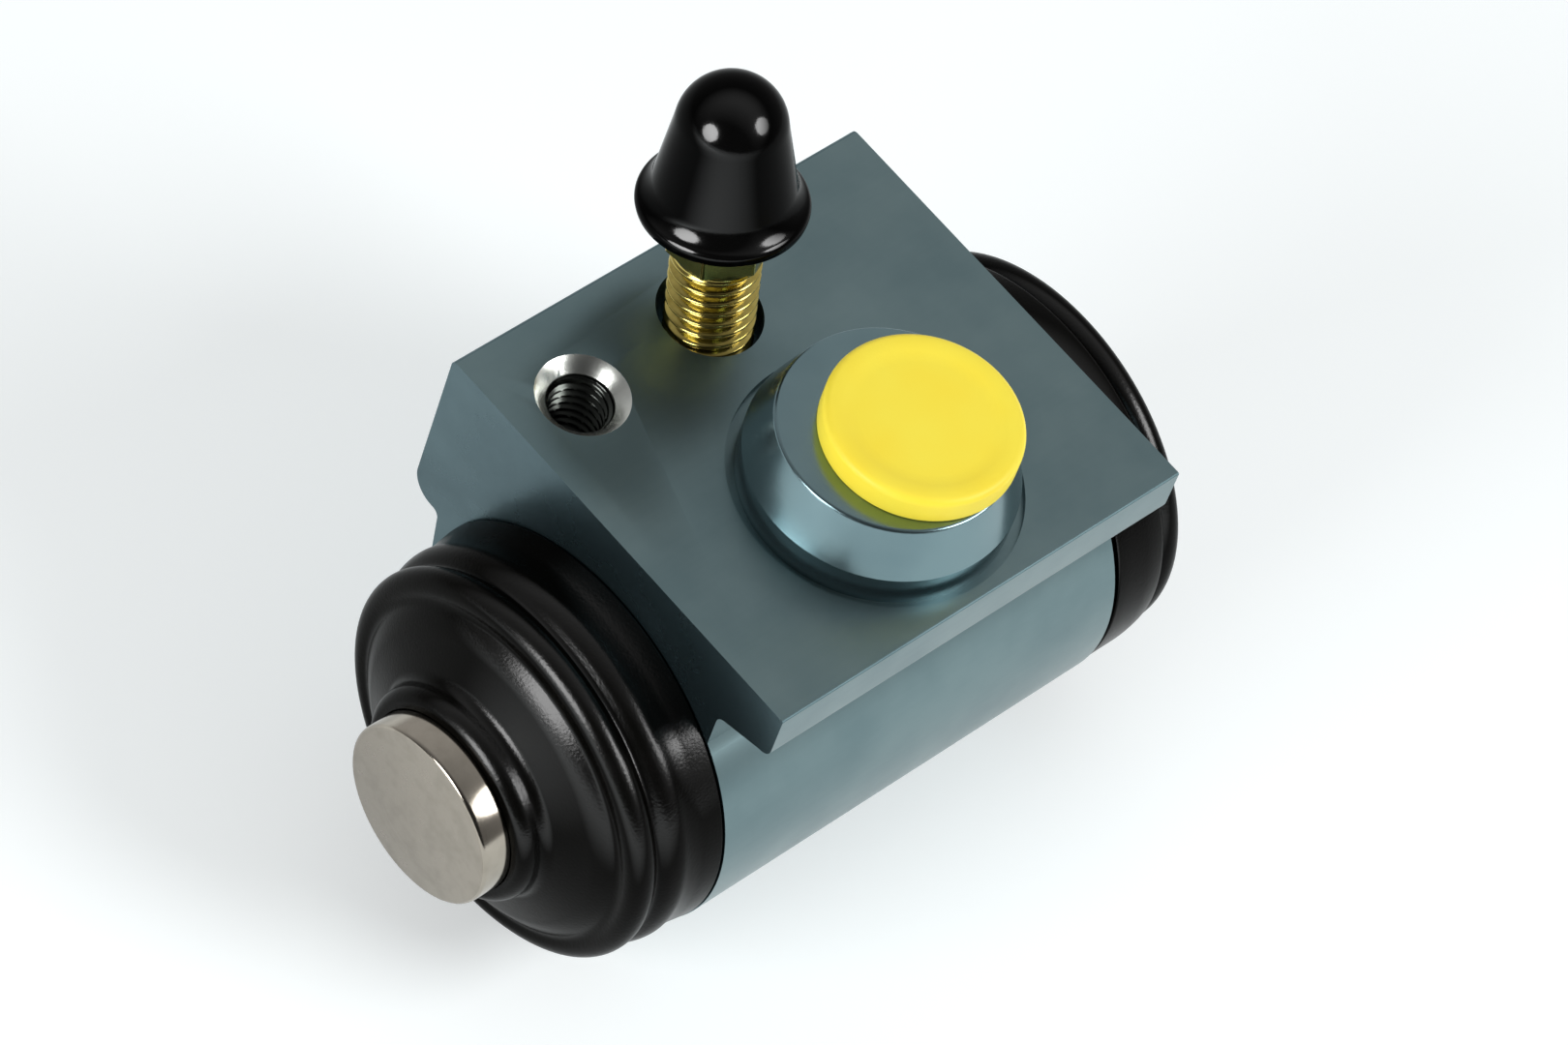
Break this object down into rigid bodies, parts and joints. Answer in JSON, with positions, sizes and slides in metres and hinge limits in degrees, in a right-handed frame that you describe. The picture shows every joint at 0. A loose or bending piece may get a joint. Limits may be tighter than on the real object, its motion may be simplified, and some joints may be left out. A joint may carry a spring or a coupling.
{
  "type": "drum brake wheel cylinder",
  "caption": "Drum brake wheel cylinder: an extruded light-alloy body with a locating boss, a capped bleed screw, and opposed pistons in rubber boots that push the brake shoes apart.",
  "frame": {"origin": "centre of the locating boss at the mounting face", "axes": "+X along the barrel and both pistons, +Y across the barrel towards the bleed screw, +Z out of the mounting face"},
  "size_m": [0.0791, 0.0453, 0.0709],
  "materials": {
    "alloy_body": "blue-grey anodised, satin",
    "piston_steel": "turned and satin plated",
    "seal_rubber": "smooth",
    "seat_steel": "pressed",
    "spring_steel": "drawn wire",
    "boot_rubber": "satin moulded",
    "bleed_zinc": "yellow passivated, bright",
    "cap_rubber": "glossy moulded",
    "plug_plastic": "soft moulded"
  },
  "bodies": {
    "cylinder": {"cylinder_body": "alloy_body", "dust_boot_left": "boot_rubber", "dust_boot_right": "boot_rubber", "return_spring": "spring_steel"},
    "left_piston": {"piston_left": "piston_steel", "cup_seal_left": "seal_rubber", "spring_seat_left": "seat_steel"},
    "right_piston": {"piston_right": "piston_steel", "cup_seal_right": "seal_rubber", "spring_seat_right": "seat_steel"},
    "bleeder": {"bleed_screw": "bleed_zinc"},
    "cap": {"bleed_cap": "cap_rubber"},
    "plug": {"port_plug": "plug_plastic"}
  },
  "joints": [
    {"name": "left_piston_slide", "type": "slide", "parent": "cylinder", "child": "left_piston", "axis": [-1, 0, 0], "range_m": [-0.003, 0.006], "deforming": ["dust_boot_left", "return_spring"]},
    {"name": "right_piston_slide", "type": "slide", "parent": "cylinder", "child": "right_piston", "axis": [1, 0, 0], "range_m": [-0.001, 0.008], "deforming": ["dust_boot_right", "return_spring"]},
    {"name": "bleed_screw_turn", "type": "hinge", "parent": "cylinder", "child": "bleeder", "pos_m": [-0.0008, 0.02095, 0], "axis": [0, 0.1994, 0.9799], "range_deg": [0, 360]},
    {"name": "bleed_cap_pull", "type": "slide", "parent": "bleeder", "child": "cap", "axis": [0, 0.1994, 0.9799], "range_m": [0, 0.014]},
    {"name": "port_plug_pull", "type": "slide", "parent": "cylinder", "child": "plug", "axis": [0, 0, 1], "range_m": [0, 0.012]}
  ]
}
